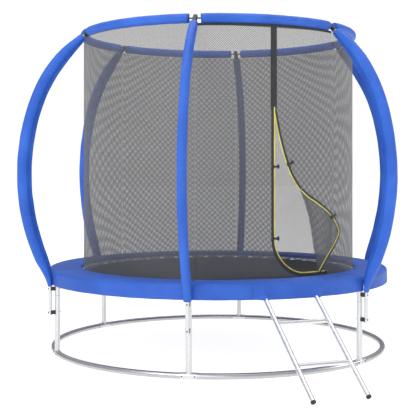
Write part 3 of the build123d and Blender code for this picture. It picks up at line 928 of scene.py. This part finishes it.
def toggles():
    b = Build()
    for u, z, a in ((0.009, 1.314, 0.05), (0.009, 0.851, 0.0), (0.118, 1.335, 0.45)):
        bow(b, u, z, 0.9919, a)
    o = b.make("toggles_on_net", [M["black"], M["band"]], "root", "black_plastic")
    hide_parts("toggles_fixed")
    b = Build()
    bow(b, 0.512, 0.982, 1.0010, 0.35)
    o = b.make("toggles_on_flap", [M["black"], M["band"]], "door_flap", "black_plastic")
    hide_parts("toggles_flap")


def zip_slider():
    b = Build()

    def block(u, z, w, h, low, high):
        b.box(lambda x, y, k: wall_point(u + x * w, z + y * h, (low + high) / 2 + k * (high - low) / 2))

    block(0.436, 0.619, 0.0052, 0.0068, 0.9926, 0.9962)
    block(0.444, 0.619, 0.0052, 0.0068, 0.9926, 0.9962)
    block(0.440, 0.613, 0.0060, 0.0060, 0.9926, 0.9985)
    block(0.440, 0.615, 0.0022, 0.0070, 0.9980, 1.0004)
    tab = [(0.0, 0.006), (0.0032, 0.004), (0.0038, -0.006), (0.0034, -0.013), (0.0, -0.0155),
           (-0.0034, -0.013), (-0.0038, -0.006), (-0.0032, 0.004)]
    b.tube([wall_point(0.440 + x, 0.6115 + y, 1.0000) for x, y in tab], 0.0011, 6, closed=True)
    b.box(lambda x, y, k: wall_point(0.440 + x * 0.0030, 0.6015 + y * 0.0035, 1.0000 + k * 0.0008))
    o = b.make("zip_slider_body", [M["dark_bolt"]], "zip_slider", "zip_metal")
    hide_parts("zip_slider")


def leg_snaps():
    """Two snap buttons on each leg, and the dark line of its joint below them."""
    leg_r, joint_r = 1.2, 0.01925
    b = Build()
    for station in STATIONS:
        for side in (-40, 150):
            c = place(station, leg_r, 0.432)
            way = place(station + side, 1.0, 0)
            b.tube([c + way * d for d in (0.0175, 0.0195, 0.0207, 0.0212)],
                   [0.0042, 0.0042, 0.0032, 0.0008], 12)
        joint = [Vector((joint_r * cos(2 * pi * k / 32), joint_r * sin(2 * pi * k / 32), 0))
                 for k in range(32)]
        b.tube([place(station, leg_r, 0.4203) + p for p in joint], 0.00055, 6, closed=True, pick=1)
    b.make("leg_snap_buttons", [M["zinc"], M["dark_bolt"]], "root", "fasteners")


nets()
door()
toggles()
zip_slider()
leg_snaps()

# ------------------------------------------------------------------ finishes of the CAD nodes that stay
# base_ring takes the darker galvanised copy, whose darkness is painted shade.
FINISH = {
    "leg": "galv", "frame_rail": "galv", "base_ring": "base", "pole": "galv", "ladder_rails": "ladder",
    "ladder_rungs": "ladder", "ladder_end_caps": "rubber", "pole_caps": "black",
    "pole_spacers": "black", "frame_bolts": "dark_bolt", "ring_rods": "rod",
}
for name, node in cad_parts.items():
    key = name if name in FINISH else name.rstrip("0123456789").rstrip("_")
    if key in FINISH:
        for slot in node.material_slots:
            slot.material = M[FINISH[key]]
        if not node.material_slots:
            node.data.materials.append(M[FINISH[key]])
        for p in node.data.polygons:
            p.use_smooth = True


# ------------------------------------------------------------------ floor, light and camera
def studio_floor():
    """A white floor that gives off a little light of its own, so that it stays white to its edge."""
    m, _, s = nodes_of("studio_floor")
    s.inputs["Base Color"].default_value = (0.35, 0.35, 0.35, 1)
    s.inputs["Roughness"].default_value = 0.95
    s.inputs["Specular IOR Level"].default_value = 0.05
    s.inputs["Emission Color"].default_value = (1, 1, 1, 1)
    s.inputs["Emission Strength"].default_value = 0.92
    mesh = bpy.data.meshes.new("floor")
    size, z = 60, -0.0005
    corners = [(-size, -size, z), (size, -size, z), (size, size, z), (-size, size, z)]
    mesh.from_pydata(corners, [], [(0, 1, 2, 3)])
    mesh.materials.append(m)
    floor = bpy.data.objects.new("floor", mesh)
    bpy.context.scene.collection.objects.link(floor)


def studio_sky():
    """White as seen by the camera; the light it gives comes from above and is dim near the horizon."""
    world = bpy.data.worlds.new("studio")
    bpy.context.scene.world = world
    world.use_nodes = True
    w = world.node_tree
    w.nodes.clear()
    out = w.nodes.new("ShaderNodeOutputWorld")
    mix = w.nodes.new("ShaderNodeMixShader")
    path = w.nodes.new("ShaderNodeLightPath")
    seen, used = w.nodes.new("ShaderNodeBackground"), w.nodes.new("ShaderNodeBackground")
    seen.inputs[0].default_value = (1, 1, 1, 1)
    seen.inputs[1].default_value = 1.05
    used.inputs[1].default_value = 1.0
    coords = w.nodes.new("ShaderNodeTexCoord")
    up = w.nodes.new("ShaderNodeSeparateXYZ")
    w.links.new(coords.outputs["Generated"], up.inputs[0])
    light = ramp(w, up.outputs[2], [(0.0, (0.10, 0.10, 0.11)), (0.12, (0.16, 0.16, 0.17)),
                                    (0.35, (0.50, 0.51, 0.53)), (1.0, (0.66, 0.67, 0.70))])
    w.links.new(light, used.inputs[0])
    w.links.new(path.outputs["Is Camera Ray"], mix.inputs[0])
    w.links.new(used.outputs[0], mix.inputs[1])
    w.links.new(seen.outputs[0], mix.inputs[2])
    w.links.new(mix.outputs[0], out.inputs[0])


def studio_lamps():
    aim = Vector((0, 0, 0.9))
    for name, where, size, power in (("key", (-6.5, -5.0, 5.0), 4.0, 295),
                                     ("top", (0.5, 0.5, 8.0), 7.0, 305),
                                     ("fill", (7.5, -3.0, 3.0), 3.0, 120),
                                     ("front", (-4.5, -9.5, 1.6), 2.6, 90)):
        data = bpy.data.lights.new(name, "AREA")
        data.shape, data.size, data.energy = "SQUARE", size, power
        lamp = bpy.data.objects.new(name, data)
        lamp.location = where
        lamp.rotation_euler = (aim - Vector(where)).to_track_quat("-Z", "Y").to_euler()
        bpy.context.scene.collection.objects.link(lamp)


def camera():
    azimuth, distance, height = radians(-21.3), 7.1, 1.30
    data = bpy.data.cameras.new("camera")
    data.sensor_width = 36
    data.lens = 82.9
    data.shift_x, data.shift_y = -0.0244, -0.094
    data.clip_end = 200
    o = bpy.data.objects.new("camera", data)
    o.location = (distance * sin(azimuth), -distance * cos(azimuth), height)
    o.rotation_euler = (pi / 2, 0, azimuth)
    bpy.context.scene.collection.objects.link(o)
    bpy.context.scene.camera = o


studio_floor()
studio_sky()
studio_lamps()
camera()
bpy.context.scene.view_settings.view_transform = "Standard"
